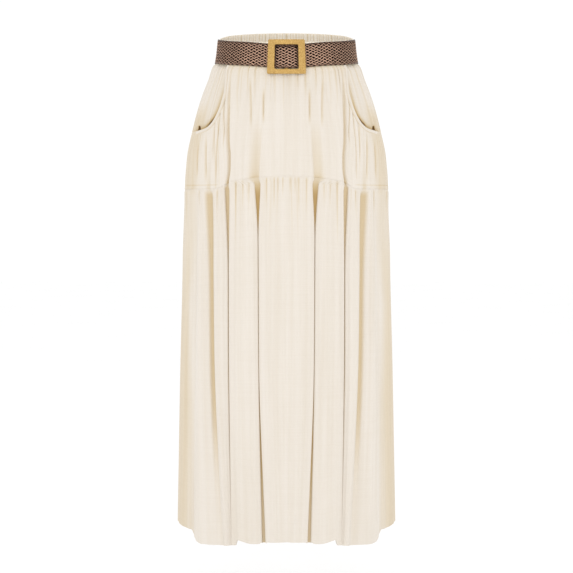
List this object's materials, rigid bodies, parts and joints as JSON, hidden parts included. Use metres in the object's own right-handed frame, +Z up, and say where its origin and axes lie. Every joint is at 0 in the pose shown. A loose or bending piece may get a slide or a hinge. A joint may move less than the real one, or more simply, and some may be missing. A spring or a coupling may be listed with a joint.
{
  "type": "gathered two-tier midi skirt with plaited belt",
  "caption": "Cream gathered midi skirt in two tiers, filled out as worn, with scooped hip pockets and a plaited tan belt with a square frame buckle.",
  "frame": {"origin": "middle of the waist opening, at the belt's mid height at the side seams", "axes": "+Z up along the body, the wearer faces -Y, the wearer's left is +X"},
  "size_m": [0.3828, 0.3246, 0.8726],
  "materials": {
    "skirt_cloth": "matte",
    "waistband_cloth": "matte",
    "strap_leather": "satin",
    "buckle_metal": "brushed"
  },
  "bodies": {
    "root": {"waistband": "waistband_cloth", "front_upper_tier": "skirt_cloth", "back_upper_tier": "skirt_cloth", "left_pocket_panel": "skirt_cloth", "right_pocket_panel": "skirt_cloth", "left_pocket_rim": "skirt_cloth", "right_pocket_rim": "skirt_cloth", "front_lower_tier": "skirt_cloth", "back_lower_tier": "skirt_cloth", "belt_strap": "strap_leather", "buckle": "buckle_metal"}
  },
  "joints": []
}
